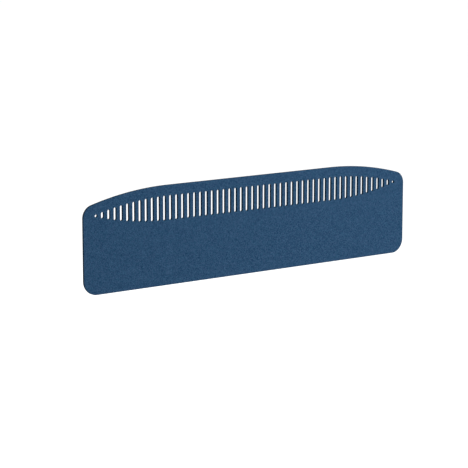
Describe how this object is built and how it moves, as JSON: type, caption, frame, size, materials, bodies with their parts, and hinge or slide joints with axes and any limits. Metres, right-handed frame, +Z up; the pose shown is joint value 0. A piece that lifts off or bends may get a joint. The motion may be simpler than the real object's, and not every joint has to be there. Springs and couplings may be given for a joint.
{
  "type": "desk privacy panel",
  "caption": "Long pressed-felt desk screen with a shallow arched top, round corners and a band of upright slots, held on the desk's rear edge by screw clamps fixed behind it.",
  "frame": {"origin": "middle of the desktop's rear top edge: the line where the top surface of the desktop meets its rear edge, halfway along the panel", "axes": "+X along the desk edge, to the right seen from in front of the panel; +Y from the panel's face towards the desk's user; +Z up"},
  "size_m": [1.4, 0.071, 0.345],
  "materials": {
    "felt": "matt pressed felt, heathered blue",
    "powder_coat": "fine textured powder coat, dark grey",
    "zinc": "bright zinc plate",
    "knob_plastic": "fine spark-textured moulding, black",
    "rubber": "matt soft rubber, black",
    "brass": "turned"
  },
  "bodies": {
    "panel_frame": {"felt_panel": "felt", "left_fixing_plate": "powder_coat", "left_panel_screws": "zinc", "left_clinch_studs": "zinc", "left_clamp_arm": "powder_coat", "left_weld_nut": "zinc", "left_edge_pad": "rubber", "left_upper_jaw": "powder_coat", "left_jaw_pad": "rubber", "left_stud_washers": "zinc", "left_cap_nuts": "zinc", "right_fixing_plate": "powder_coat", "right_panel_screws": "zinc", "right_clinch_studs": "zinc", "right_clamp_arm": "powder_coat", "right_weld_nut": "zinc", "right_edge_pad": "rubber", "right_upper_jaw": "powder_coat", "right_jaw_pad": "rubber", "right_stud_washers": "zinc", "right_cap_nuts": "zinc"},
    "left_foot": {"left_pressure_plate": "zinc", "left_pressure_pad": "rubber"},
    "left_screw": {"left_clamp_screw": "zinc", "left_retaining_ring": "zinc", "left_screw_knob": "knob_plastic", "left_knob_insert": "brass"},
    "right_foot": {"right_pressure_plate": "zinc", "right_pressure_pad": "rubber"},
    "right_screw": {"right_clamp_screw": "zinc", "right_retaining_ring": "zinc", "right_screw_knob": "knob_plastic", "right_knob_insert": "brass"}
  },
  "joints": [
    {"name": "left_foot_travel", "type": "slide", "parent": "panel_frame", "child": "left_foot", "axis": [0, 0, 1], "range_m": [-0.015, 0.015]},
    {"name": "left_screw_turn", "type": "hinge", "parent": "left_foot", "child": "left_screw", "pos_m": [-0.45, 0.03, -0.0372], "axis": [0, 0, 1], "range_deg": [-4400, 4400]},
    {"name": "right_foot_travel", "type": "slide", "parent": "panel_frame", "child": "right_foot", "axis": [0, 0, 1], "range_m": [-0.015, 0.015]},
    {"name": "right_screw_turn", "type": "hinge", "parent": "right_foot", "child": "right_screw", "pos_m": [0.45, 0.03, -0.0372], "axis": [0, 0, 1], "range_deg": [-4400, 4400]}
  ],
  "couplings": [
    {"joint": "left_screw_turn", "follows": "left_foot_travel", "rad_per_m": 5026.5},
    {"joint": "right_screw_turn", "follows": "right_foot_travel", "rad_per_m": 5026.5}
  ]
}
